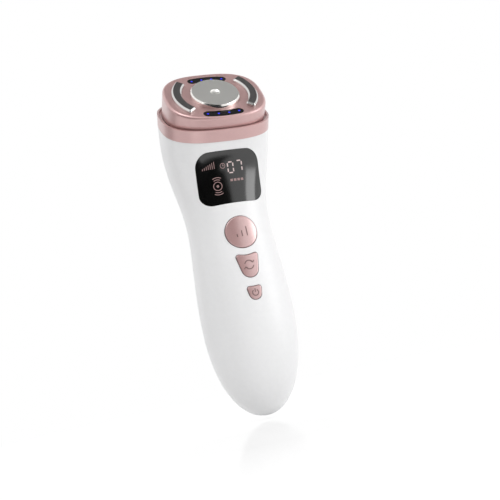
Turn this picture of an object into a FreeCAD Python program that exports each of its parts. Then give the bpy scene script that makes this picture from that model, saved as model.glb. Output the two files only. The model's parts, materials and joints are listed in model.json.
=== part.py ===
import FreeCAD, Part
import math
import os

# Hand-held facial device with a slanted head.
# Millimetres. Origin in the middle of the grip, +Z up the handle, display and keys face -Y.

# Handle outline
grip_half_width = 23.75
neck_half_width = 21.4
neck_height = 50.4
base_length = 49.6
base_roundness = 2.12
depth_ratio = 1.0
handle_squareness = 2.25
waist_fullness = 1.25
shell_wall = 2.2
root_bite = 0.3
seam_y = 6.0

# Collar
collar_height = 102.0
collar_reach = 10.9
reach_bend = 3.5
collar_tilt = 40.9
tilt_bend = 2.2
collar_half_width = 28.0
collar_half_depth = 22.9
collar_squareness = 2.81
collar_band = 6.3
collar_rim = 1.0
collar_step = 0.15
groove_floor = 5.2
collar_floor = 2.0
floor_half_width = 19.0
floor_half_depth = 15.6
spigot_length = 4.0
spigot_wall = 1.2
spigot_sink = 0.5

# Head block
face_forward = 4.3
face_rise = 17.2
face_slant = 13.3
face_half_width = 25.7
face_half_depth = 20.55
face_setback = 1.3
face_squareness = 2.8
head_draft = 0.4
head_wall = 2.0
face_edge_radius = 1.6
gasket_thickness = 0.5
head_length = 30.0

# Treatment plate and transducer
plate_radius = 12.5
plate_proud = 2.3
plate_bevel = 0.7
plate_flange = 1.0
plate_flange_thickness = 1.2
plate_gap = 0.05
seal_thickness = 0.4
dimple_radius = 2.5
dimple_depth = 0.9
transducer_radius = 10.2
transducer_thickness = 3.4
transducer_stand = 0.8
cup_radius = 13.0
cup_wall = 2.0
cup_depth = 6.4

# Electrodes
electrode_inner = 16.9
electrode_outer = 21.9
electrode_half_angle = 41.0
electrode_proud = 2.0
electrode_sunk = 1.2
electrode_bevel = 0.8
electrode_corner = 1.0
stud_radius = 1.0
stud_half_angle = 25.0
post_wall = 1.2
nut_radius = 2.2
nut_thickness = 1.6

# Light windows and chips
light_row = 15.9
light_pitch = 5.35
lights_per_row = 4
light_arc_radius = 50.0
window_half_height = 2.3
chip_length = 2.2
chip_width = 1.8
chip_height = 1.0

# Head board
board_thickness = 1.6
head_board_depth = 5.2
head_board_half_width = 19.2
head_board_half_depth = 16.9

# Head screws
head_screw_radius = 1.0
head_screw_reach = 22.0
head_screw_head = 2.0
head_screw_length = 7.4
head_boss_radius = 2.4

# Display
display_top = 83.0
display_bottom = 57.0
display_half_width = 16.5
display_corner = 6.5
display_thickness = 1.4
display_ledge = 1.5
display_gap = 0.1
diffuser_half_width = 13.0
diffuser_half_height = 9.8
module_half_width = 13.4
module_half_height = 10.0
module_thickness = 3.0

# Main board
board_front = -12.5
board_half_width = 14.5
board_top = 84.0
board_bottom = -20.0
board_screw_x = 10.5
board_screw_heights = (53.2, -12.0)
board_screw_radius = 1.0
board_boss_radius = 2.5
board_screw_bite = 4.0
screw_head_radius = 2.0
screw_head_height = 1.4

# Keys
level_height = 41.65
level_radius = 8.1
mode_top = 31.1
mode_bottom = 18.4
mode_half_top = 6.0
mode_half_bottom = 4.1
power_top = 14.1
power_bottom = 7.2
power_half_top = 3.9
power_half_bottom = 3.0
mode_hollow = 12.7
power_hollow = 16.0
key_corner = 1.3
key_proud = 0.5
key_gap = 0.35
key_edge_radius = 0.35
key_flange = 1.0
key_flange_thickness = 1.0
key_flange_gap = 0.25
key_travel = 0.5
stem_radius = 2.0

# Switches
switch_half = 3.0
switch_height = 3.5
plunger_radius = 1.7
plunger_clearance = 0.05
plunger_stand = 0.9
plunger_sunk = 1.2

# Battery
cell_radius = 9.1
cell_length = 65.0
cell_bottom = -27.5
cell_y = 5.0
cradle_wall = 1.3
cradle_rib = 2.4

# Charging socket
socket_width = 8.94
socket_height = 3.26
socket_skin = 0.3
socket_length = 7.3
socket_recess = 0.8
socket_slot_gap = 0.2
tongue_width = 6.69
tongue_thickness = 0.7
tongue_set_back = 0.9
socket_block = 2.0
charge_half_width = 6.8
charge_top = -30.5
charge_bottom = -43.0
charge_screw_x = 5.0
charge_screw_z = -34.5
charge_post_radius = 2.2
charge_screw_radius = 0.8
charge_screw_bite = 4.0

# Other electronics
buzzer_radius = 4.5
buzzer_height = 4.0
buzzer_z = -4.5
coil_half_width = 6.0
coil_half_height = 5.0
coil_depth = 8.0
coil_z = 68.0
chip_half = 4.0
chip_depth = 1.2
chip_z = 50.0
wire_radius = 0.6
wire_spacing = 2.4

# Rear cover joint
lip_depth = 3.0
lip_wall = 1.2
lip_gap = 0.08
lip_root = 2.0
hook_height = 0.5
hook_length = 7.0
hook_thickness = 1.2
hook_gap = 0.1
hook_heights = (-28.0, 10.0, 62.0)

V = FreeCAD.Vector
X_AXIS = V(1, 0, 0)
Y_AXIS = V(0, 1, 0)
FAR = 200.0

board_rear = board_front + board_thickness
collar_frame = FreeCAD.Placement(V(0, -collar_reach, collar_height), FreeCAD.Rotation(X_AXIS, collar_tilt))
face_in_collar = FreeCAD.Placement(V(0, -face_forward, face_rise), FreeCAD.Rotation(X_AXIS, face_slant))
face_frame = collar_frame.multiply(face_in_collar)


def placed(shape, frame):
    moved = shape.copy()
    moved.Placement = frame.multiply(moved.Placement)
    return moved


def ease(t):
    return (1.0 - math.cos(math.pi * t)) / 2.0


def mix(start, end, t):
    return start + (end - start) * t


def signed_power(value, power):
    return math.copysign(abs(value) ** power, value)


# Closed rounded-square outline in a plane of constant z, starting at the back
def squircle(half_width, half_depth, squareness, z=0.0, count=32):
    points = []
    for i in range(count):
        angle = math.pi / 2 + 2 * math.pi * i / count
        x = half_width * signed_power(math.cos(angle), 2.0 / squareness)
        y = half_depth * signed_power(math.sin(angle), 2.0 / squareness)
        points.append(V(x, y, z))
    curve = Part.BSplineCurve()
    curve.interpolate(points, PeriodicFlag=True)
    return Part.Wire([curve.toShape()])


def prism(wire, height):
    return Part.Face(wire).extrude(V(0, 0, height))


def slab(low, high, frame=None):
    block = Part.makeBox(2 * FAR, 2 * FAR, high - low, V(-FAR, -FAR, low))
    if frame is None:
        return block
    return placed(block, frame)


def box(x0, x1, y0, y1, z0, z1):
    return Part.makeBox(x1 - x0, y1 - y0, z1 - z0, V(x0, y0, z0))


# Rod along +Y
def rod_y(radius, x, z, y0, y1):
    return Part.makeCylinder(radius, y1 - y0, V(x, y0, z), Y_AXIS)


# Half width of the handle from the grip, t = 0, to the neck, t = 1
def waist_half_width(t):
    return mix(grip_half_width, neck_half_width, ease(t) ** waist_fullness)


# Handle solid, shrunk on all sides by inset; overshoot lengthens it past the collar plane
def handle(inset=0.0, overshoot=0.0):
    wires = []
    length = base_length - inset
    for degrees in (86.5, 80, 72, 62, 51, 39, 26, 13):
        s = math.sin(math.radians(degrees))
        scale = (1.0 - s ** base_roundness) ** (1.0 / base_roundness)
        a = (grip_half_width - inset) * scale
        b = (grip_half_width * depth_ratio - inset) * scale
        wires.append(squircle(a, b, handle_squareness, -length * s))
    for step in range(4):
        t = step / 4.0
        a = waist_half_width(t)
        wires.append(squircle(a - inset, a * depth_ratio - inset, handle_squareness, neck_height * t))
    for step in range(7):
        t = step / 6.0
        a = mix(collar_half_width, neck_half_width, (1.0 - ease(t)) ** waist_fullness)
        b = mix(neck_half_width * depth_ratio, collar_half_depth, ease(t))
        n = mix(handle_squareness, collar_squareness, t)
        centre = V(0, -collar_reach * t ** reach_bend, mix(neck_height, collar_height, t))
        frame = FreeCAD.Placement(centre, FreeCAD.Rotation(X_AXIS, collar_tilt * t ** tilt_bend))
        wires.append(placed(squircle(a - inset, b - inset, n), frame))
    if overshoot:
        wires.append(placed(squircle(a - inset, b - inset, n, overshoot), frame))
    return Part.makeLoft(wires, True, False)


# Straight-sided block with rounded corners, lying along Y
def panel(half_width, z0, z1, corner, y0, y1):
    block = box(-half_width, half_width, y0, y1, z0, z1)
    edges = [e for e in block.Edges if abs(e.tangentAt(e.FirstParameter).y) > 0.9]
    return block.makeFillet(corner, edges)


# Shield-shaped key outline: hollow top, tapered sides, round foot
def shield(half_top, half_bottom, top, bottom, hollow):
    sag = hollow - math.sqrt(hollow ** 2 - half_top ** 2)
    foot = bottom + 0.8 * half_bottom
    top_left = V(-half_top, 0, top)
    top_right = V(half_top, 0, top)
    low_left = V(-half_bottom, 0, foot)
    low_right = V(half_bottom, 0, foot)
    edges = [
        Part.Arc(top_left, V(0, 0, top - sag), top_right).toShape(),
        Part.makeLine(top_right, low_right),
        Part.Arc(low_right, V(0, 0, bottom), low_left).toShape(),
        Part.makeLine(low_left, top_left),
    ]
    face = Part.Face(Part.Wire(edges))
    return face.makeOffset2D(-key_corner).makeOffset2D(key_corner)


def disc_xz(radius, z):
    circle = Part.makeCircle(radius, V(0, 0, z), Y_AXIS)
    return Part.Face(Part.Wire([circle]))


# Column of an outline lying in the XZ plane, reaching out of the front of the handle
def front_column(face, grow=0.0):
    outline = face
    if grow:
        outline = face.makeOffset2D(grow)
    return outline.extrude(V(0, -FAR, 0))


# Front of the handle at the middle, between grip and neck
def front_y(z):
    return -depth_ratio * waist_half_width(z / neck_height)


# Flat slot shape with round ends, standing along Z
def slot(width, height, z0, z1):
    r = height / 2.0
    reach = width / 2.0 - r
    shape = box(-reach, reach, -r, r, z0, z1)
    for side in (-1, 1):
        shape = shape.fuse(Part.makeCylinder(r, z1 - z0, V(side * reach, 0, z0)))
    return shape.removeSplitter()


# Part of a flat ring between two radii, either side of the X axis direction given
def ring_sector(inner, outer, half_angle, middle, z0, z1):
    low = math.radians(middle - half_angle)
    mid = math.radians(middle)
    high = math.radians(middle + half_angle)

    def point(radius, angle):
        return V(radius * math.cos(angle), radius * math.sin(angle), z0)

    edges = [
        Part.Arc(point(outer, low), point(outer, mid), point(outer, high)).toShape(),
        Part.makeLine(point(outer, high), point(inner, high)),
        Part.Arc(point(inner, high), point(inner, mid), point(inner, low)).toShape(),
        Part.makeLine(point(inner, low), point(outer, low)),
    ]
    return Part.Face(Part.Wire(edges)).extrude(V(0, 0, z1 - z0))


def hexagon(radius, centre, height):
    points = []
    for i in range(7):
        angle = math.radians(60 * i)
        points.append(centre + V(radius * math.cos(angle), radius * math.sin(angle), 0))
    return Part.Face(Part.makePolygon(points)).extrude(V(0, 0, height))


# Round wire through a few points
def lead(points):
    curve = Part.BSplineCurve()
    curve.interpolate(points)
    edge = curve.toShape()
    start = edge.valueAt(edge.FirstParameter)
    heading = edge.tangentAt(edge.FirstParameter)
    ring = Part.Wire([Part.makeCircle(wire_radius, start, heading)])
    return Part.Wire([edge]).makePipeShell([ring], True, False)


def group(shapes):
    return Part.makeCompound(shapes)


pieces = {}

# Handle shells
outer = handle()
cavity = handle(shell_wall, 1.0)
shell = outer.cut(cavity)
front_shell = shell.common(box(-FAR, FAR, -FAR, seam_y, -FAR, FAR))
rear_cover = shell.common(box(-FAR, FAR, seam_y, FAR, -FAR, FAR))
shell_root = handle(shell_wall - root_bite, 1.0)
front_adds = []
front_cuts = []
rear_adds = []
rear_cuts = []

# Lip of the rear cover, inside the front shell
lip_inner = handle(shell_wall + lip_wall, 1.0)
below_spigot = slab(-FAR, -spigot_length - 1.0, collar_frame)
lip = handle(shell_wall + lip_gap, 1.0).cut(lip_inner)
lip = lip.common(box(-FAR, FAR, seam_y - lip_depth, seam_y + lip_root, -FAR, FAR)).common(below_spigot)
lip_foot = cavity.cut(lip_inner)
lip_foot = lip_foot.common(box(-FAR, FAR, seam_y, seam_y + lip_root, -FAR, FAR)).common(below_spigot)
rear_adds += [lip, lip_foot]

# Snap hooks on the lip and their pockets in the front shell
hook_skin = handle(shell_wall - hook_height, 1.0).cut(handle(shell_wall + lip_wall / 2.0, 1.0))
pocket_skin = handle(shell_wall - hook_height - hook_gap, 1.0).cut(lip_inner)
hook_y = seam_y - lip_depth + hook_thickness
hook_zones = []
pocket_zones = []
for height in hook_heights:
    low = height - hook_length / 2.0
    high = height + hook_length / 2.0
    for side in (-1, 1):
        x0 = min(0, side * FAR)
        x1 = max(0, side * FAR)
        hook_zones.append(box(x0, x1, hook_y - hook_thickness, hook_y, low, high))
        pocket_front = hook_y - hook_thickness - hook_gap
        pocket_zones.append(box(x0, x1, pocket_front, hook_y + hook_gap, low - hook_gap, high + hook_gap))
rear_adds.append(hook_skin.common(group(hook_zones)))
front_cuts.append(pocket_skin.common(group(pocket_zones)))

# Display window in a pocket of the front shell
display_middle = (display_top + display_bottom) / 2.0
window_bed = handle(display_thickness, 1.0)
window_skin = outer.cut(window_bed)
window_column = panel(display_half_width, display_bottom, display_top, display_corner, -FAR, 0)
pieces["display_window"] = window_column.common(window_skin)
pocket_column = panel(
    display_half_width + display_gap,
    display_bottom - display_gap,
    display_top + display_gap,
    display_corner + display_gap,
    -FAR,
    0,
)
front_cuts.append(pocket_column.common(window_skin))
opening = panel(
    display_half_width - display_ledge,
    display_bottom + display_ledge,
    display_top - display_ledge,
    display_corner - display_ledge,
    -FAR,
    0,
)
front_cuts.append(opening)

# Light block and display module behind the window
module_front = board_front - module_thickness
diffuser = panel(
    diffuser_half_width,
    display_middle - diffuser_half_height,
    display_middle + diffuser_half_height,
    display_corner / 2.0,
    -FAR,
    module_front,
)
pieces["display_diffuser"] = diffuser.common(window_bed)
pieces["display_module"] = box(
    -module_half_width,
    module_half_width,
    module_front,
    board_front,
    display_middle - module_half_height,
    display_middle + module_half_height,
)

# Main board on four bosses of the front shell
main_board = box(-board_half_width, board_half_width, board_front, board_rear, board_bottom, board_top)
board_screws = []
for height in board_screw_heights:
    for side in (-1, 1):
        x = side * board_screw_x
        boss = rod_y(board_boss_radius, x, height, -FAR, board_front).common(shell_root)
        shank = rod_y(board_screw_radius, x, height, board_front - board_screw_bite, board_rear)
        head = rod_y(screw_head_radius, x, height, board_rear, board_rear + screw_head_height)
        front_adds.append(boss)
        front_cuts.append(shank)
        main_board = main_board.cut(shank)
        board_screws.append(shank.fuse(head))
pieces["board_screws"] = group(board_screws)

# Keys, switches and plungers
keys = {
    "level": (disc_xz(level_radius, level_height), level_height),
    "mode": (
        shield(mode_half_top, mode_half_bottom, mode_top, mode_bottom, mode_hollow),
        (mode_top + mode_bottom) / 2.0,
    ),
    "power": (
        shield(power_half_top, power_half_bottom, power_top, power_bottom, power_hollow),
        (power_top + power_bottom) / 2.0,
    ),
}
flange_top_inset = shell_wall + key_flange_gap
flange_bottom = handle(flange_top_inset + key_flange_thickness, 1.0)
cap_skin = handle(-key_proud).cut(flange_bottom)
flange_skin = handle(flange_top_inset, 1.0).cut(flange_bottom)
plunger_top = board_front - switch_height - plunger_stand
plunger_end = board_front - switch_height + plunger_sunk
for name, (outline, height) in keys.items():
    front_cuts.append(front_column(outline, key_gap))
    cap = front_column(outline).common(cap_skin)
    flange = front_column(outline, key_flange).common(flange_skin)
    stem = rod_y(stem_radius, 0, height, front_y(height) + shell_wall, plunger_top)
    button = cap.fuse(flange).fuse(stem).removeSplitter()
    top_face = min(button.Faces, key=lambda face: face.CenterOfMass.y)
    pieces[name + "_button"] = button.makeFillet(key_edge_radius, top_face.Edges)
    pieces[name + "_plunger"] = rod_y(plunger_radius, 0, height, plunger_top, plunger_end)
    body = box(
        -switch_half,
        switch_half,
        board_front - switch_height,
        board_front,
        height - switch_half,
        height + switch_half,
    )
    well_end = plunger_end + key_travel + plunger_clearance * 4
    well = rod_y(plunger_radius + plunger_clearance, 0, height, board_front - switch_height, well_end)
    pieces[name + "_switch"] = body.cut(well)

# Parts soldered to the main board
pieces["buzzer"] = rod_y(buzzer_radius, 0, buzzer_z, board_front - buzzer_height, board_front)
pieces["drive_transformer"] = box(
    -coil_half_width,
    coil_half_width,
    board_rear,
    board_rear + coil_depth,
    coil_z - coil_half_height,
    coil_z + coil_half_height,
)
pieces["control_chip"] = box(
    -chip_half, chip_half, board_rear, board_rear + chip_depth, chip_z - chip_half, chip_z + chip_half
)
pieces["main_board"] = main_board

# Battery in a half-round cradle that rests on the rear cover
cell = Part.makeCylinder(cell_radius, cell_length, V(0, cell_y, cell_bottom))
cradle = Part.makeCylinder(
    cell_radius + cradle_wall, cell_length + 2 * cradle_wall, V(0, cell_y, cell_bottom - cradle_wall)
)
cradle = cradle.common(box(-FAR, FAR, cell_y, FAR, -FAR, FAR))
for fraction in (0.15, 0.85):
    z = cell_bottom + fraction * cell_length
    rib = box(-cradle_rib / 2, cradle_rib / 2, cell_y + cell_radius, FAR, z - cradle_rib, z + cradle_rib)
    cradle = cradle.fuse(rib.common(cavity))
pieces["battery_cell"] = cell
pieces["battery_cradle"] = cradle.cut(cell)

# Charging socket and its board
socket_mouth = -base_length + socket_recess
socket_top = socket_mouth + socket_length
board_face = socket_height / 2.0
charge_rear = board_face + board_thickness
bore = slot(socket_width - 2 * socket_skin, socket_height - 2 * socket_skin, socket_mouth, socket_top)
pieces["usb_shell"] = slot(socket_width, socket_height, socket_mouth, socket_top).cut(bore)
block = bore.common(slab(socket_top - socket_block, socket_top))
tongue = box(
    -tongue_width / 2,
    tongue_width / 2,
    -tongue_thickness / 2,
    tongue_thickness / 2,
    socket_mouth + tongue_set_back,
    socket_top,
)
pieces["usb_tongue"] = block.fuse(tongue).removeSplitter()
slot_width = socket_width + 2 * socket_slot_gap
slot_height = socket_height + 2 * socket_slot_gap
front_cuts.append(slot(slot_width, slot_height, -base_length - 5, socket_top))
charge_board = box(-charge_half_width, charge_half_width, board_face, charge_rear, charge_bottom, charge_top)
charge_screws = []
for side in (-1, 1):
    x = side * charge_screw_x
    post = rod_y(charge_post_radius, x, charge_screw_z, charge_rear, FAR).common(shell_root)
    shank = rod_y(charge_screw_radius, x, charge_screw_z, board_face, charge_rear + charge_screw_bite)
    head = rod_y(2 * charge_screw_radius, x, charge_screw_z, board_face - screw_head_height, board_face)
    rear_adds.append(post)
    rear_cuts.append(shank)
    charge_board = charge_board.cut(shank)
    charge_screws.append(shank.fuse(head))
pieces["charge_board"] = charge_board
pieces["charge_screws"] = group(charge_screws)

# Collar ring: band, groove floor and a spigot inside the shells
band_width = collar_half_width + collar_step
band_depth = collar_half_depth + collar_step
floor_under = groove_floor - collar_floor
collar = prism(squircle(band_width, band_depth, collar_squareness), collar_band)
groove_outline = squircle(band_width - collar_rim, band_depth - collar_rim, collar_squareness, groove_floor)
collar = collar.cut(prism(groove_outline, collar_band))
spigot_inset = shell_wall + lip_gap
spigot = handle(spigot_inset, spigot_sink).common(slab(-spigot_length, spigot_sink, collar_frame))
spigot_bore = handle(spigot_inset + spigot_wall, floor_under)
floor_hole = prism(squircle(floor_half_width, floor_half_depth, collar_squareness), collar_band)
collar = placed(collar, collar_frame).fuse(spigot).cut([spigot_bore, placed(floor_hole, collar_frame)])

# Side beads of the spigot snap into the shells
bead_skin = handle(shell_wall - hook_height, 1.0).cut(handle(shell_wall + spigot_wall / 2.0, 1.0))
bead_room = handle(shell_wall - hook_height - hook_gap, 1.0).cut(handle(shell_wall + spigot_wall, 1.0))
bead_top = -spigot_length + 2 * hook_thickness
bead_x = 0.9 * (collar_half_width - shell_wall)
for side in (-1, 1):
    x0 = min(side * bead_x, side * FAR)
    x1 = max(side * bead_x, side * FAR)
    strip = slab(-spigot_length + hook_thickness, bead_top, collar_frame)
    bead_zone = box(x0, x1, -collar_reach - hook_length, -collar_reach + hook_length, 0, FAR)
    collar = collar.fuse(bead_skin.common(strip.common(bead_zone)))
    room_strip = slab(-spigot_length + hook_thickness - hook_gap, bead_top + hook_gap, collar_frame)
    room_zone = box(
        x0 - hook_gap,
        x1 + hook_gap,
        -collar_reach - hook_length - hook_gap,
        -collar_reach + hook_length + hook_gap,
        0,
        FAR,
    )
    front_cuts.append(bead_room.common(room_strip.common(room_zone)))

# Outline of the head, set back a little from the middle of the plate
def head_outline(half_width, half_depth, z):
    wire = squircle(half_width, half_depth, face_squareness, z)
    wire.translate(V(0, face_setback, 0))
    return wire


# Head block
foot_width = face_half_width + head_draft
foot_depth = face_half_depth + head_draft
head = Part.makeLoft(
    [
        head_outline(foot_width, foot_depth, -head_length),
        head_outline(face_half_width, face_half_depth, 0),
    ],
    True,
    True,
)
rim_edges = [e for e in head.Edges if e.BoundBox.ZMin > -0.01]
head = head.makeFillet(face_edge_radius, rim_edges)
head_solid = head
room_width = face_half_width - head_wall
room_depth = face_half_depth - head_wall
head_room = prism(head_outline(room_width, room_depth, -head_length), head_length - head_wall)
head = head.cut(head_room)

# Screw bosses of the head stand square to the collar
head_bosses = []
head_holes = []
head_screws = []
boss_y = -face_forward / 2.0
for side in (-1, 1):
    centre = V(side * head_screw_reach, boss_y, 0)
    boss_top = groove_floor + gasket_thickness + head_screw_length
    boss = Part.makeCylinder(head_boss_radius, boss_top - groove_floor, centre + V(0, 0, groove_floor))
    head_bosses.append(placed(boss, collar_frame).common(placed(head_solid, face_frame)))
    shank = Part.makeCylinder(head_screw_radius, head_screw_length, centre + V(0, 0, floor_under))
    cap_foot = centre + V(0, 0, floor_under - screw_head_height)
    cap = Part.makeCylinder(head_screw_head, screw_head_height, cap_foot)
    head_holes.append(placed(shank, collar_frame))
    head_screws.append(placed(shank.fuse(cap), collar_frame))
pieces["head_screws"] = group(head_screws)

head = placed(head, face_frame).fuse(head_bosses)
collar = collar.cut(head_holes)
gasket_strip = slab(groove_floor, groove_floor + gasket_thickness, collar_frame)
pieces["head_gasket"] = head.common(gasket_strip).cut(head_holes)
head_adds = []
head_cuts = head_holes + [slab(-FAR, groove_floor + gasket_thickness, collar_frame)]

# Treatment plate, its seal and the transducer, in the frame of the face
plate_top = plate_proud
flange_top = -head_wall - seal_thickness
plate_rear = flange_top - plate_flange_thickness
plate = Part.makeCylinder(plate_radius, plate_top - plate_rear, V(0, 0, plate_rear))
plate_edge = [e for e in plate.Edges if e.BoundBox.ZMin > plate_top - 0.01]
plate = plate.makeChamfer(plate_bevel, plate_edge)
flange = Part.makeCylinder(plate_radius + plate_flange, plate_flange_thickness, V(0, 0, plate_rear))
plate = plate.fuse(flange).removeSplitter()
dimple_sphere = (dimple_radius ** 2 + dimple_depth ** 2) / (2 * dimple_depth)
plate = plate.cut(Part.makeSphere(dimple_sphere, V(0, 0, plate_top - dimple_depth + dimple_sphere)))
transducer_front = plate_rear - transducer_stand + transducer_thickness
transducer = Part.makeCylinder(
    transducer_radius, transducer_thickness, V(0, 0, transducer_front - transducer_thickness)
)
pieces["treatment_plate"] = placed(plate.cut(transducer), face_frame)
pieces["transducer"] = placed(transducer, face_frame)
seal = Part.makeCylinder(plate_radius + plate_flange, seal_thickness, V(0, 0, flange_top))
seal = seal.cut(Part.makeCylinder(plate_radius, seal_thickness, V(0, 0, flange_top)))
pieces["plate_seal"] = placed(seal, face_frame)
cup = Part.makeCylinder(cup_radius, cup_depth, V(0, 0, plate_rear - cup_depth))
cup = cup.cut(Part.makeCylinder(cup_radius - cup_wall, cup_depth, V(0, 0, plate_rear - cup_depth + cup_wall)))
pieces["transducer_cup"] = placed(cup, face_frame)
plate_hole = Part.makeCylinder(plate_radius + plate_gap, 3 * head_wall, V(0, 0, -2 * head_wall))
head_cuts.append(placed(plate_hole, face_frame))

# Electrodes with threaded studs and nuts
board_under = -head_board_depth - board_thickness
stud_end = board_under - nut_thickness - 0.3
stud_ring = (electrode_inner + electrode_outer) / 2.0
head_board = prism(
    squircle(head_board_half_width, head_board_half_depth, face_squareness, board_under), board_thickness
)
head_board = head_board.cut(Part.makeCylinder(cup_radius + plate_gap, head_length, V(0, 0, -head_length)))
nuts = []
for name, middle in (("electrode_right", 0.0), ("electrode_left", 180.0)):
    bar = ring_sector(
        electrode_inner, electrode_outer, electrode_half_angle, middle, -electrode_sunk, electrode_proud
    )
    upright = [e for e in bar.Edges if e.BoundBox.ZLength > electrode_proud]
    bar = bar.makeFillet(electrode_corner, upright)
    pocket = bar.copy()
    top_edges = [e for e in bar.Edges if e.BoundBox.ZMin > electrode_proud - 0.01]
    bar = bar.makeChamfer(electrode_bevel, top_edges)
    head_cuts.append(placed(pocket, face_frame))
    for turn in (-stud_half_angle, stud_half_angle):
        angle = math.radians(middle + turn)
        spot = V(stud_ring * math.cos(angle), stud_ring * math.sin(angle), 0)
        stud = Part.makeCylinder(stud_radius, -electrode_sunk - stud_end, spot + V(0, 0, stud_end))
        post = Part.makeCylinder(
            stud_radius + post_wall, head_board_depth - electrode_sunk, spot + V(0, 0, -head_board_depth)
        )
        post = post.cut(pocket)
        head_adds.append(placed(post, face_frame))
        head_cuts.append(placed(stud, face_frame))
        head_board = head_board.cut(stud)
        bar = bar.fuse(stud)
        nut = hexagon(nut_radius, spot + V(0, 0, board_under - nut_thickness), nut_thickness).cut(stud)
        nuts.append(placed(nut, face_frame))
    pieces[name] = placed(bar, face_frame)
pieces["electrode_nuts"] = group(nuts)

# Curved light windows and the chips behind them
chips = []
for name, side in (("led_window_front", -1), ("led_window_rear", 1)):
    centre_y = side * (light_row - light_arc_radius)
    row_span = (lights_per_row - 1) * light_pitch / 2.0
    sweep = math.degrees(math.asin(row_span / light_arc_radius))
    window = ring_sector(
        light_arc_radius - window_half_height,
        light_arc_radius + window_half_height,
        sweep,
        side * 90.0,
        -head_wall,
        0.0,
    )
    for end in (-1, 1):
        angle = math.radians(side * 90.0 + end * sweep)
        spot = V(light_arc_radius * math.cos(angle), light_arc_radius * math.sin(angle), -head_wall)
        window = window.fuse(Part.makeCylinder(window_half_height, head_wall, spot))
    window = window.removeSplitter()
    window.translate(V(0, centre_y, 0))
    window = placed(window.common(head_solid), face_frame)
    pieces[name] = window
    head_cuts.append(window)
    for i in range(lights_per_row):
        x = (i - (lights_per_row - 1) / 2.0) * light_pitch
        y = centre_y + side * math.sqrt(light_arc_radius ** 2 - x ** 2)
        chip_corner = V(x - chip_length / 2, y - chip_width / 2, -head_board_depth)
        chip = Part.makeBox(chip_length, chip_width, chip_height, chip_corner)
        chips.append(placed(chip, face_frame))
pieces["leds"] = group(chips)

pieces["head_board"] = placed(head_board, face_frame)

# Wiring
bite = wire_radius / 2.0
head_wires = []
for i in (-1, 0, 1):
    x = i * wire_spacing
    route = [
        face_frame.multVec(V(x, cup_radius + 2.0, board_under + bite)),
        face_frame.multVec(V(x, cup_radius + 2.0, board_under - 3.0)),
        collar_frame.multVec(V(x, floor_half_depth - 5.0, groove_floor - 1.0)),
        V(x, -3.5, board_top + 8.0),
        V(x, board_rear + 3.0, board_top - 2.0),
        V(x, board_rear - bite, board_top - 4.0),
    ]
    head_wires.append(lead(route).cut(pieces["head_board"]).cut(pieces["main_board"]))
pieces["head_cable"] = group(head_wires)

battery_wires = []
cell_top = cell_bottom + cell_length
for side in (-1, 1):
    x = side * wire_spacing
    route = [
        V(x, cell_y - cell_radius / 2.0, cell_top - bite),
        V(x, cell_y - cell_radius / 2.0, cell_top + 2.5),
        V(x, board_rear + 4.0, cell_top + 3.5),
        V(x, board_rear - bite, cell_top + 4.0),
    ]
    battery_wires.append(lead(route).cut(cell).cut(pieces["main_board"]))
pieces["battery_leads"] = group(battery_wires)

charge_wires = []
for side in (-1, 1):
    x = side * wire_spacing
    route = [
        V(x, board_face + bite, charge_top - 2.0),
        V(x, board_face - 3.0, charge_top - 2.0),
        V(x, board_rear + 3.5, board_bottom + 1.0),
        V(x, board_rear - bite, board_bottom + 3.0),
    ]
    charge_wires.append(lead(route).cut(pieces["charge_board"]).cut(pieces["main_board"]))
pieces["charge_leads"] = group(charge_wires)

pieces["front_shell"] = front_shell.fuse(front_adds).cut(front_cuts)
pieces["rear_cover"] = rear_cover.fuse(rear_adds).cut(rear_cuts)
pieces["collar_ring"] = collar
pieces["head_housing"] = head.fuse(head_adds).cut(head_cuts)

os.makedirs("parts", exist_ok=True)
for name, shape in pieces.items():
    shape.exportStep("parts/" + name + ".step")
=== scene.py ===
import json
import math

import bmesh
import bpy
from mathutils import Matrix, Vector
from mathutils.bvhtree import BVHTree


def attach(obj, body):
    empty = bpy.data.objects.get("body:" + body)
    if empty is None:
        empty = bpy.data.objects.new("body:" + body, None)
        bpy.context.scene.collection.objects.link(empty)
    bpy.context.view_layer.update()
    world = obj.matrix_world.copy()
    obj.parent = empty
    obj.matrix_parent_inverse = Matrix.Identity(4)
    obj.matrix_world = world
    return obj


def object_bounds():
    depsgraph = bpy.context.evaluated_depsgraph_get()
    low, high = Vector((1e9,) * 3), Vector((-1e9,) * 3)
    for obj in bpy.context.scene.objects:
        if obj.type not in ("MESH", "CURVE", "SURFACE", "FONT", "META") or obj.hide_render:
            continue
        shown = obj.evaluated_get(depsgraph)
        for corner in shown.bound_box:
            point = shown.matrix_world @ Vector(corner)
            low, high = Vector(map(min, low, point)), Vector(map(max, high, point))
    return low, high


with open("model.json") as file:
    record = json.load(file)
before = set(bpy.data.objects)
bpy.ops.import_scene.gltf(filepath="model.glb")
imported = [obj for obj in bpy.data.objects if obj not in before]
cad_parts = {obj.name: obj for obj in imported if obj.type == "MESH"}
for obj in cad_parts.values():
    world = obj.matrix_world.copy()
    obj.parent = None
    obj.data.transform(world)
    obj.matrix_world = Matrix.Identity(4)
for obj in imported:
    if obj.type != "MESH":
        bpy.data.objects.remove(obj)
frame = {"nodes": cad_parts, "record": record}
cad_low, cad_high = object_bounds()
scene = bpy.context.scene
nodes = frame["nodes"]
MM = 0.001

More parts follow.
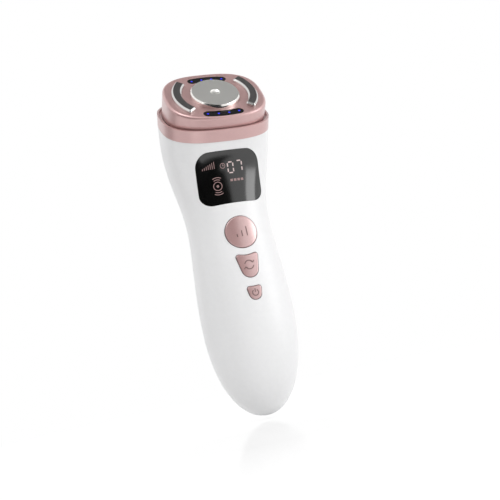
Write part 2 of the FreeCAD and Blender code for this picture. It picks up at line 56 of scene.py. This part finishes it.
# Places on the part, in millimetres of its own frame
collar_tilt = math.radians(40.9)
face_tilt = collar_tilt + math.radians(13.3)
collar_centre = Vector((0, -10.9, 102.0))
face_offset = Vector((0, -4.3, 17.2))
face_centre = collar_centre + Matrix.Rotation(collar_tilt, 3, "X") @ face_offset
face_turn = Matrix.Rotation(face_tilt, 3, "X")
plate_height = 2.3
contact_height = 2.0
dimple_reach = 6.0
seam_y = 6.0
seam_half_width = 0.11
light_row = 15.9
light_pitch = 5.35
light_arc = 50.0
lights_per_row = 4
level_z = 41.65
mode_z = 24.6
power_z = 10.5


# Materials

def new_material(name):
    mat = bpy.data.materials.new(name)
    mat.use_nodes = True
    tree = mat.node_tree
    return mat, tree, tree.nodes["Principled BSDF"]


def put(tree, kind, **values):
    node = tree.nodes.new(kind)
    for key, value in values.items():
        setattr(node, key, value)
    return node


def noise(tree, size_mm, detail=2.0):
    """Noise with lumps of about size_mm, in the part's own coordinates."""
    coords = put(tree, "ShaderNodeTexCoord")
    texture = put(tree, "ShaderNodeTexNoise")
    texture.inputs["Scale"].default_value = 1.0 / (size_mm * MM)
    texture.inputs["Detail"].default_value = detail
    tree.links.new(coords.outputs["Object"], texture.inputs["Vector"])
    return texture.outputs["Fac"]


def ramp(tree, source, low, high, start=0.35, end=0.65):
    """Colour between low and high as the source goes from start to end."""
    node = put(tree, "ShaderNodeValToRGB")
    node.color_ramp.elements[0].position = start
    node.color_ramp.elements[0].color = (*low, 1)
    node.color_ramp.elements[1].position = end
    node.color_ramp.elements[1].color = (*high, 1)
    tree.links.new(source, node.inputs["Fac"])
    return node.outputs["Color"]


def spread(tree, source, low, high):
    """Value between low and high as the source goes from 0 to 1."""
    node = put(tree, "ShaderNodeMapRange")
    node.inputs["To Min"].default_value = low
    node.inputs["To Max"].default_value = high
    tree.links.new(source, node.inputs["Value"])
    return node.outputs["Result"]


def bump(tree, shader, source, height_mm, strength):
    node = put(tree, "ShaderNodeBump")
    node.inputs["Distance"].default_value = height_mm * MM
    node.inputs["Strength"].default_value = strength
    tree.links.new(source, node.inputs["Height"])
    tree.links.new(node.outputs["Normal"], shader.inputs["Normal"])


def shade(colour, factor):
    return tuple(min(1.0, c * factor) for c in colour)


def srgb(red, green, blue):
    """Linear colour of a screen colour given from 0 to 255."""
    def linear(v):
        v = v / 255.0
        return v / 12.92 if v <= 0.04045 else ((v + 0.055) / 1.055) ** 2.4
    return (linear(red), linear(green), linear(blue))


def plain(name, colour, roughness, metallic=0.0, gloss=0.5,
          lump=0.6, mottle=0.04, grain=0.3, bump_mm=0.02):
    """Moulded or rolled surface: faint mottle in colour and roughness, and a fine grain."""
    mat, tree, shader = new_material(name)
    fine = noise(tree, lump)
    tone = ramp(tree, fine, shade(colour, 1 - mottle), shade(colour, 1 + mottle))
    tree.links.new(tone, shader.inputs["Base Color"])
    tree.links.new(spread(tree, fine, roughness * 0.88, roughness * 1.12), shader.inputs["Roughness"])
    bump(tree, shader, noise(tree, grain, 3.0), bump_mm, 0.25)
    shader.inputs["Metallic"].default_value = metallic
    shader.inputs["Specular IOR Level"].default_value = gloss
    return mat


def shell_plastic(name, colour, roughness, seam_shade, **values):
    """White moulding with a fine grey line of painted shade where the two halves of the handle meet."""
    mat = plain(name, colour, roughness, **values)
    tree = mat.node_tree
    shader = tree.nodes["Principled BSDF"]
    base = shader.inputs["Base Color"].links[0].from_socket
    coords = put(tree, "ShaderNodeTexCoord")
    axes = put(tree, "ShaderNodeSeparateXYZ")
    tree.links.new(coords.outputs["Object"], axes.inputs["Vector"])
    # Painted shade of the seam: the base colour goes grey along the line where the halves meet
    near = put(tree, "ShaderNodeMath", operation="COMPARE")
    near.inputs[1].default_value = seam_y * MM
    near.inputs[2].default_value = seam_half_width * MM
    tree.links.new(axes.outputs["Y"], near.inputs[0])
    blend = put(tree, "ShaderNodeMix", data_type="RGBA")
    blend.inputs["B"].default_value = (*shade(colour, seam_shade), 1)
    tree.links.new(near.outputs["Value"], blend.inputs["Factor"])
    tree.links.new(base, blend.inputs["A"])
    tree.links.new(blend.outputs["Result"], shader.inputs["Base Color"])
    return mat


def lacquer(name, colour, coat_roughness, coat_ior, roughness=0.38, metallic=0.5, flake=0.10, mottle=0.10):
    """Metallic paint: tiny flakes that differ in tone, under a clear coat."""
    mat, tree, shader = new_material(name)
    coords = put(tree, "ShaderNodeTexCoord")
    cells = put(tree, "ShaderNodeTexVoronoi")
    cells.inputs["Scale"].default_value = 1.0 / (flake * MM)
    tree.links.new(coords.outputs["Object"], cells.inputs["Vector"])
    grey = put(tree, "ShaderNodeRGBToBW")
    tree.links.new(cells.outputs["Color"], grey.inputs["Color"])
    flakes = grey.outputs["Val"]
    tone = ramp(tree, flakes, shade(colour, 1 - mottle), shade(colour, 1 + mottle), 0.1, 0.9)
    tree.links.new(tone, shader.inputs["Base Color"])
    tree.links.new(spread(tree, flakes, roughness * 0.85, roughness * 1.15), shader.inputs["Roughness"])
    bump(tree, shader, noise(tree, 0.5), 0.01, 0.15)
    shader.inputs["Metallic"].default_value = metallic
    shader.inputs["Coat Weight"].default_value = 1.0
    shader.inputs["Coat Roughness"].default_value = coat_roughness
    shader.inputs["Coat IOR"].default_value = coat_ior
    return mat


def face_coords(tree):
    """Coordinates of the head's face: its middle is the origin and +Z stands off it."""
    coords = put(tree, "ShaderNodeTexCoord")
    mapping = put(tree, "ShaderNodeMapping", vector_type="TEXTURE")
    mapping.inputs["Location"].default_value = face_centre * MM
    mapping.inputs["Rotation"].default_value = (face_tilt, 0, 0)
    tree.links.new(coords.outputs["Object"], mapping.inputs["Vector"])
    return mapping.outputs["Vector"]


def top_mask(tree, place, height):
    """1 on the flat top that stands height mm off the face and in its middle, 0 on the edges below it."""
    axes = put(tree, "ShaderNodeSeparateXYZ")
    tree.links.new(place, axes.inputs["Vector"])
    step = put(tree, "ShaderNodeMapRange")
    step.inputs["From Min"].default_value = (height - 0.12) * MM
    step.inputs["From Max"].default_value = (height - 0.03) * MM
    tree.links.new(axes.outputs["Z"], step.inputs["Value"])
    reach = put(tree, "ShaderNodeVectorMath", operation="LENGTH")
    tree.links.new(place, reach.inputs[0])
    dimple = put(tree, "ShaderNodeMath", operation="LESS_THAN")
    dimple.inputs[1].default_value = dimple_reach * MM
    tree.links.new(reach.outputs["Value"], dimple.inputs[0])
    either = put(tree, "ShaderNodeMath", operation="MAXIMUM")
    tree.links.new(step.outputs["Result"], either.inputs[0])
    tree.links.new(dimple.outputs["Value"], either.inputs[1])
    return either.outputs["Value"]


def turned_metal(name, height, top, edge, top_roughness, edge_roughness, ring_mm=0.0):
    """Metal with a satin top that stands height mm off the face and bright polished edges; top and edges
    take their own base colours, and a top darker than its edges is painted shade, a painted reflection of a
    dark overhead.
    """
    mat, tree, shader = new_material(name)
    place = face_coords(tree)
    mask = top_mask(tree, place, height)
    # Base colour by the mask: the top colour on the flat top, the edge colour on the edges below it; on the
    # contacts this paints the darker top as shade
    tree.links.new(ramp(tree, mask, edge, top, 0.0, 1.0), shader.inputs["Base Color"])
    fine = noise(tree, 0.35, 3.0)
    satin = spread(tree, fine, top_roughness * 0.85, top_roughness * 1.15)
    blend = put(tree, "ShaderNodeMix")
    blend.inputs["A"].default_value = edge_roughness
    tree.links.new(mask, blend.inputs["Factor"])
    tree.links.new(satin, blend.inputs["B"])
    tree.links.new(blend.outputs["Result"], shader.inputs["Roughness"])
    shader.inputs["Metallic"].default_value = 1.0
    if ring_mm:
        rings = put(tree, "ShaderNodeTexWave", wave_type="RINGS", rings_direction="Z")
        rings.inputs["Scale"].default_value = 1.0 / (ring_mm * MM) / 6.28
        rings.inputs["Distortion"].default_value = 0.6
        tree.links.new(place, rings.inputs["Vector"])
        bump(tree, shader, rings.outputs["Fac"], 0.004, 0.15)
    else:
        bump(tree, shader, fine, 0.004, 0.2)
    return mat


def glowing(name, colour, strength, base):
    """Lit surface with a faint mottle in its light."""
    mat, tree, shader = new_material(name)
    fine = noise(tree, 0.4)
    tree.links.new(ramp(tree, fine, shade(colour, 0.9), colour), shader.inputs["Emission Color"])
    tree.links.new(ramp(tree, fine, shade(base, 0.9), base), shader.inputs["Base Color"])
    shader.inputs["Emission Strength"].default_value = strength
    shader.inputs["Roughness"].default_value = 0.2
    return mat


def circuit_board(name, track_mm=4.0):
    """Green solder mask over a faint grid of tracks."""
    mat, tree, shader = new_material(name)
    coords = put(tree, "ShaderNodeTexCoord")
    bricks = put(tree, "ShaderNodeTexBrick")
    bricks.inputs["Scale"].default_value = 1.0 / (track_mm * MM)
    bricks.inputs["Mortar Size"].default_value = 0.05
    bricks.inputs["Color1"].default_value = (0.012, 0.09, 0.035, 1)
    bricks.inputs["Color2"].default_value = (0.010, 0.07, 0.028, 1)
    bricks.inputs["Mortar"].default_value = (0.03, 0.16, 0.06, 1)
    tree.links.new(coords.outputs["Object"], bricks.inputs["Vector"])
    tree.links.new(bricks.outputs["Color"], shader.inputs["Base Color"])
    tree.links.new(spread(tree, noise(tree, 1.0), 0.3, 0.45), shader.inputs["Roughness"])
    return mat


white = (0.86, 0.86, 0.865)
rose = (0.58, 0.335, 0.325)
window_black = (0.006, 0.006, 0.007)
display_black = (0.001, 0.001, 0.001)
satin_top = srgb(240, 239, 235)
satin_edge = srgb(242, 239, 235)
# Contact tops are painted shade: the same chrome as the edges, painted darker as a reflection of a dark
# overhead
contact_top_painted_shade = srgb(128, 126, 126)
contact_edge = srgb(214, 212, 210)
looks = {
    "white_shell": shell_plastic(
        "white_plastic", white, 0.34, 0.35, lump=2.0, mottle=0.008, grain=0.5, bump_mm=0.006),
    "rose_lacquer": lacquer("rose_lacquer", rose, 0.34, 2.0),
    "plate_metal": turned_metal(
        "satin_plate", plate_height, satin_top, satin_edge, 0.38, 0.16, ring_mm=0.35),
    "contact_metal": turned_metal(
        "contact_chrome", contact_height, contact_top_painted_shade, contact_edge, 0.30, 0.20),
    "black_window": plain(
        "black_lens", window_black, 0.14, gloss=0.25, lump=1.5, mottle=0.1, bump_mm=0.002),
    "light_chip": plain("light_chip", (0.75, 0.70, 0.35), 0.35),
    "display_black": plain(
        "display_glass", display_black, 0.15, gloss=1.0, lump=2.0, mottle=0.1, bump_mm=0.001),
    "rubber_black": plain("black_rubber", (0.02, 0.02, 0.02), 0.7),
    "milky_plastic": plain("milky_plastic", (0.75, 0.76, 0.75), 0.45),
    "dark_plastic": plain("dark_plastic", (0.03, 0.03, 0.033), 0.45),
    "board_green": circuit_board("board_green"),
    "steel": plain("bright_steel", (0.62, 0.62, 0.63), 0.25, metallic=1.0),
    "brass_nut": plain("brass", (0.72, 0.50, 0.20), 0.28, metallic=1.0),
    "piezo": plain("piezo_ceramic", (0.55, 0.52, 0.46), 0.6),
    "ferrite": plain("ferrite", (0.05, 0.05, 0.055), 0.55),
    "cell_wrap": plain("cell_wrap", (0.04, 0.16, 0.42), 0.35),
    "wire_skin": plain("wire_skin", (0.45, 0.03, 0.025), 0.4),
}

# Every node takes the material of its slot, and the keys a glossier one
key_lacquer = lacquer("key_lacquer", rose, 0.24, 2.6)
for entry in frame["record"]["subparts"]:
    shown = nodes[entry["node"]]
    shown.data.materials.clear()
    shown.data.materials.append(key_lacquer if "button" in entry["node"] else looks[entry["material_slot"]])


# Marks that lie on a curved node, drawn with strokes in the front view (x to the right, z up, in mm)

def finished_mesh(name, mesh):
    """An object of the scene from a mesh under construction, with its faces turned outward."""
    bmesh.ops.recalc_face_normals(mesh, faces=mesh.faces)
    data = bpy.data.meshes.new(name)
    mesh.to_mesh(data)
    mesh.free()
    piece = bpy.data.objects.new(name, data)
    scene.collection.objects.link(piece)
    return piece


def surface(node):
    mesh = nodes[node].data
    points = [v.co.copy() for v in mesh.vertices]
    faces = [tuple(p.vertices) for p in mesh.polygons]
    return BVHTree.FromPolygons(points, faces)


def even(points, step):
    """The same line with points no further apart than step."""
    line = [Vector(points[0])]
    for a, b in zip(points, points[1:]):
        a, b = Vector(a), Vector(b)
        count = max(1, math.ceil((b - a).length / step))
        for i in range(count):
            line.append(a.lerp(b, (i + 1) / count))
    return line


def arc(x, z, radius, start, end, count=24):
    angles = [math.radians(start + (end - start) * i / count) for i in range(count + 1)]
    return [(x + radius * math.cos(a), z + radius * math.sin(a)) for a in angles]


def inlay(name, strokes, node, body, mat, stand=0.03, sink=0.03):
    """Thin strips laid on the front of a node: each stroke is (points, width)."""
    tree = surface(node)
    mesh = bmesh.new()
    backward = Vector((0, 1, 0))
    in_front = -0.2
    for points, width in strokes:
        line = even(points, 0.3)
        rows = []
        for i, p in enumerate(line):
            ahead = (line[min(i + 1, len(line) - 1)] - line[max(i - 1, 0)]).normalized()
            across = Vector((-ahead.y, ahead.x)) * width / 2.0
            corners = ((p + across, stand), (p - across, stand), (p - across, -sink), (p + across, -sink))
            row = []
            for q, out in corners:
                hit, normal = tree.ray_cast(Vector((q.x * MM, in_front, q.y * MM)), backward)[:2]
                if normal.y > 0:
                    normal = -normal
                row.append(mesh.verts.new(hit + normal * out * MM))
            rows.append(row)
        for a, b in zip(rows, rows[1:]):
            for k in range(4):
                mesh.faces.new((a[k], a[(k + 1) % 4], b[(k + 1) % 4], b[k]))
        mesh.faces.new(rows[0])
        mesh.faces.new(rows[-1][::-1])
    piece = finished_mesh(name, mesh)
    piece.data.materials.append(mat)
    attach(piece, body)


ink = plain("key_ink", srgb(112, 84, 82), 0.4, lump=0.3, mottle=0.06)
unlit = (0.02, 0.02, 0.02)
glow = glowing("display_glow", srgb(172, 140, 138), 0.8, unlit)
bright = glowing("number_glow", srgb(235, 212, 210), 0.8, unlit)

# Level key: three bars that grow
level_pitch = 2.6
level_foot = level_z - 2.4
level_strokes = []
for i, tall in enumerate((1.4, 3.0, 4.8)):
    x = (i - 1) * level_pitch
    level_strokes.append(([(x, level_foot), (x, level_foot + tall)], 0.55))
inlay("level_sign", level_strokes, "level_button", "level_key", ink)

# Mode key: two half turns with an arrow each
turn_radius = 2.2
turn_sweep = 140
mode_strokes = []
for side, start in ((1, 25), (-1, 205)):
    mode_strokes.append((arc(0, mode_z, turn_radius, start, start + turn_sweep), 0.5))
    arrow = [(side * x, mode_z + side * z) for x, z in ((2.9, 1.9), (2.0, 0.9), (1.0, 1.7))]
    mode_strokes.append((arrow, 0.45))
inlay("mode_sign", mode_strokes, "mode_button", "mode_key", ink)

# Power key: the common on-off sign
power_strokes = [
    (arc(0, power_z, 1.5, 125, 415), 0.5),
    ([(0, power_z + 0.2), (0, power_z + 1.9)], 0.5),
]
inlay("power_sign", power_strokes, "power_button", "power_key", ink)

# Lit signs of the display: bars, a clock, a ring with arcs and a plain row of blocks
bar_count = 7
bar_start = -13.3
bar_pitch = 0.98
bar_foot = 75.0
bar_first = 0.9
bar_growth = 0.42
signs = []
for i in range(bar_count):
    x = bar_start + bar_pitch * i
    signs.append(([(x, bar_foot), (x, bar_foot + bar_first + bar_growth * i)], 0.3))

clock_x = -3.1
clock_z = 75.9
signs.append((arc(clock_x, clock_z, 1.2, 90, 450, 32), 0.28))
signs.append(([(clock_x, clock_z + 0.75), (clock_x, clock_z), (clock_x + 0.6, clock_z)], 0.26))

ring_x = -7.05
ring_z = 66.3
ring_line = 0.36
signs.append((arc(ring_x, ring_z, 2.1, 0, 360, 36), ring_line))
signs.append((arc(ring_x, ring_z, 0.4, 0, 360, 16), 0.5))
for reach in (3.2, 4.3):
    signs.append((arc(ring_x, ring_z, reach, 60, 120), ring_line))
    signs.append((arc(ring_x, ring_z, reach, 240, 300), ring_line))

block_count = 4
block_start = -0.2
block_pitch = 1.85
block_length = 1.3
block_height = 1.2
block_z = 68.4
for i in range(block_count):
    x = block_start + block_pitch * i
    signs.append(([(x, block_z), (x + block_length, block_z)], block_height))
inlay("display_signs", signs, "display_window", "housing", glow, stand=0.02, sink=0.02)


# Lit numbers of the display, with seven strokes to a digit
def digit(x, z, lit, width=2.8, height=5.2, gap=0.45, stroke=0.6):
    left = x - width / 2
    right = x + width / 2
    top = z + height / 2
    bottom = z - height / 2
    lines = {
        "top": [(left + gap, top), (right - gap, top)],
        "middle": [(left + gap, z), (right - gap, z)],
        "bottom": [(left + gap, bottom), (right - gap, bottom)],
        "upper_left": [(left, z + gap), (left, top - gap)],
        "upper_right": [(right, z + gap), (right, top - gap)],
        "lower_left": [(left, bottom + gap), (left, z - gap)],
        "lower_right": [(right, bottom + gap), (right, z - gap)],
    }
    return [(lines[k], stroke) for k in lit]


nought = ("top", "bottom", "upper_left", "upper_right", "lower_left", "lower_right")
seven = ("top", "upper_right", "lower_right")
numbers = digit(0.9, 74.7, nought) + digit(5.5, 75.0, seven)
inlay("display_numbers", numbers, "display_window", "housing", bright, stand=0.02, sink=0.02)


# Blue light points: low round lenses in the two dark windows
def light_points(name, spots, radius, height, around=20):
    mesh = bmesh.new()

    def point(x, y, z):
        return mesh.verts.new((face_centre + face_turn @ Vector((x, y, z))) * MM)

    for x, y in spots:
        rings = []
        for share in (1.0, 0.8, 0.5):
            z = height * math.cos(share * math.pi / 2)
            ring = []
            for k in range(around):
                angle = 2 * math.pi * k / around
                reach = radius * share
                ring.append(point(x + reach * math.cos(angle), y + reach * math.sin(angle), z))
            rings.append(ring)
        tip = point(x, y, height)
        for a, b in zip(rings, rings[1:]):
            for k in range(around):
                mesh.faces.new((a[k], a[(k + 1) % around], b[(k + 1) % around], b[k]))
        for k in range(around):
            mesh.faces.new((rings[-1][k], rings[-1][(k + 1) % around], tip))
        mesh.faces.new(rings[0][::-1])
    piece = finished_mesh(name, mesh)
    for polygon in piece.data.polygons:
        polygon.use_smooth = True
    return piece


light_spots = []
for side in (-1, 1):
    for i in range(lights_per_row):
        x = (i - (lights_per_row - 1) / 2.0) * light_pitch
        y = side * (light_row - light_arc + math.sqrt(light_arc ** 2 - x ** 2))
        light_spots.append((x, y))
lenses = light_points("light_lenses", light_spots, 0.55, 0.12)
lenses.data.materials.append(glowing("blue_light", (0.02, 0.03, 0.9), 1.0, (0.01, 0.01, 0.25)))
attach(lenses, "housing")


# Camera at the photograph's viewing angle, in metres
camera_place = Vector((-0.103787, -0.369832, -0.022056))
forward = Vector((0.28855, 0.94617, 0.14660))
up = Vector((0.15638, -0.19763, 0.96772))
right = forward.cross(up)
focal_pixels = 742.0
picture_pixels = 500.0
sensor_mm = 36.0
camera = bpy.data.objects.new("camera", bpy.data.cameras.new("camera"))
scene.collection.objects.link(camera)
camera.matrix_world = Matrix.Translation(camera_place) @ Matrix((right, up, -forward)).transposed().to_4x4()
camera.data.sensor_width = sensor_mm
camera.data.lens = focal_pixels / picture_pixels * sensor_mm
camera.data.clip_start = 0.01
scene.camera = camera


# Floor, light and background, in metres

def card(name, size, place):
    data = bpy.data.meshes.new(name)
    h = size / 2.0
    data.from_pydata([(-h, -h, 0), (h, -h, 0), (h, h, 0), (-h, h, 0)], [], [(0, 1, 2, 3)])
    obj = bpy.data.objects.new(name, data)
    obj.location = place
    scene.collection.objects.link(obj)
    return obj


def seen_rays(tree):
    """1 for rays that show a surface straight, mirrored or through glass, 0 for those that light it."""
    rays = put(tree, "ShaderNodeLightPath")
    seen = rays.outputs["Is Camera Ray"]
    for kind in ("Is Glossy Ray", "Is Transmission Ray"):
        either = put(tree, "ShaderNodeMath", operation="MAXIMUM")
        tree.links.new(seen, either.inputs[0])
        tree.links.new(rays.outputs[kind], either.inputs[1])
        seen = either.outputs["Value"]
    return seen


def matte(tree, grey):
    node = put(tree, "ShaderNodeBsdfDiffuse")
    node.inputs["Color"].default_value = (grey, grey, grey, 1)
    return node.outputs["BSDF"]


def shining(tree, strength):
    node = put(tree, "ShaderNodeEmission")
    node.inputs["Strength"].default_value = strength
    return node.outputs["Emission"]


def mix_shaders(tree, share, first, second):
    node = put(tree, "ShaderNodeMixShader")
    tree.links.new(share, node.inputs["Fac"])
    tree.links.new(first, node.inputs[1])
    tree.links.new(second, node.inputs[2])
    return node.outputs["Shader"]


def fade_out(tree, centre, near, far, start, end):
    """Value that goes from start to end as the distance from the centre goes from near to far."""
    coords = put(tree, "ShaderNodeTexCoord")
    reach = put(tree, "ShaderNodeVectorMath", operation="DISTANCE")
    reach.inputs[1].default_value = centre
    tree.links.new(coords.outputs["Object"], reach.inputs[0])
    fade = put(tree, "ShaderNodeMapRange")
    fade.inputs["From Min"].default_value = near
    fade.inputs["From Max"].default_value = far
    fade.inputs["To Min"].default_value = start
    fade.inputs["To Max"].default_value = end
    tree.links.new(reach.outputs["Value"], fade.inputs["Value"])
    return fade.outputs["Result"]


def white_floor(name):
    """White floor with the part's shadow round its foot and a faint mirror image in front of it."""
    mat, tree, shader = new_material(name)
    tree.nodes.remove(shader)
    shaded = put(tree, "ShaderNodeAddShader")
    tree.links.new(shining(tree, 0.94), shaded.inputs[0])
    tree.links.new(matte(tree, 0.14), shaded.inputs[1])
    away = fade_out(tree, (0, 0, 0), 0.20, 0.45, 0.0, 1.0)
    bare = mix_shaders(tree, away, shaded.outputs["Shader"], shining(tree, 1.0))
    sheen = put(tree, "ShaderNodeBsdfGlossy")
    sheen.inputs["Roughness"].default_value = 0.08
    mirror = fade_out(tree, (-0.025, -0.08, 0), 0.03, 0.17, 0.28, 0.0)
    polished = mix_shaders(tree, mirror, bare, sheen.outputs["BSDF"])
    shown = mix_shaders(tree, seen_rays(tree), matte(tree, 0.85), polished)
    tree.links.new(shown, tree.nodes["Material Output"].inputs["Surface"])
    return mat


floor_gap = 0.0018
floor = card("floor", 8.0, (0, 0, cad_low.z - floor_gap))
floor.data.materials.append(white_floor("white_floor"))

world = bpy.data.worlds.new("studio")
world.use_nodes = True
scene.world = world
tree = world.node_tree
background = tree.nodes["Background"]
background.inputs["Color"].default_value = (1, 1, 1, 1)
tree.links.new(spread(tree, seen_rays(tree), 1.05, 1.0), background.inputs["Strength"])


def softbox(name, place, aim, size, power):
    data = bpy.data.lights.new(name, "AREA")
    data.shape = "SQUARE"
    data.size = size
    data.energy = power
    lamp = bpy.data.objects.new(name, data)
    lamp.location = place
    lamp.rotation_euler = (Vector(aim) - Vector(place)).to_track_quat("-Z", "Y").to_euler()
    scene.collection.objects.link(lamp)


middle = Vector((0, 0, 0.035))
softbox("key_light", (0.74, -0.56, 0.16), middle, 0.48, 1.9)
softbox("fill_light", (-0.35, -0.62, 0.72), middle, 0.5, 2.8)


# Grey cards that the camera doesn't see: over the part, round the camera, at both sides and on the floor
def flag(name, place, size, grey, tall=1.0, flat=False, mirrored=True):
    """A card that faces the part, or one that lies flat for reflections alone.

    Its height is tall times its width, and it shows in reflections if it is mirrored.
    """
    obj = card(name, size, place)
    obj.scale.y = tall
    obj.visible_camera = False
    obj.visible_glossy = mirrored
    if flat:
        obj.visible_diffuse = False
        obj.visible_shadow = False
    else:
        obj.rotation_euler = (middle - Vector(place)).to_track_quat("Z", "Y").to_euler()
    mat, tree, shader = new_material(name)
    shader.inputs["Base Color"].default_value = (grey, grey, grey, 1)
    shader.inputs["Roughness"].default_value = 0.9
    shader.inputs["Specular IOR Level"].default_value = 0.0
    obj.data.materials.append(mat)


flag("ceiling_card", (0.10, -0.10, 0.75), 0.8, 0.36)
camera_card_reach = 0.75
for i, around in enumerate((202, 233, 264)):
    angle = math.radians(around)
    place = (camera_card_reach * math.cos(angle), camera_card_reach * math.sin(angle), 0.15)
    flag("camera_card_%d" % (i + 1), place, 0.52, 0.04, tall=0.75)
flag("left_card", (-0.55, 0.30, 0.12), 0.5, 0.5)
flag("right_card", (0.70, 0.26, 0.12), 0.4, 0.4, mirrored=False)
flag("front_card", (-0.45, -0.84, cad_low.z + 0.001), 1.1, 0.05, flat=True)
flag("near_card", (-0.305, -0.34, cad_low.z + 0.0015), 0.38, 0.05, flat=True)

scene.view_settings.view_transform = "Standard"
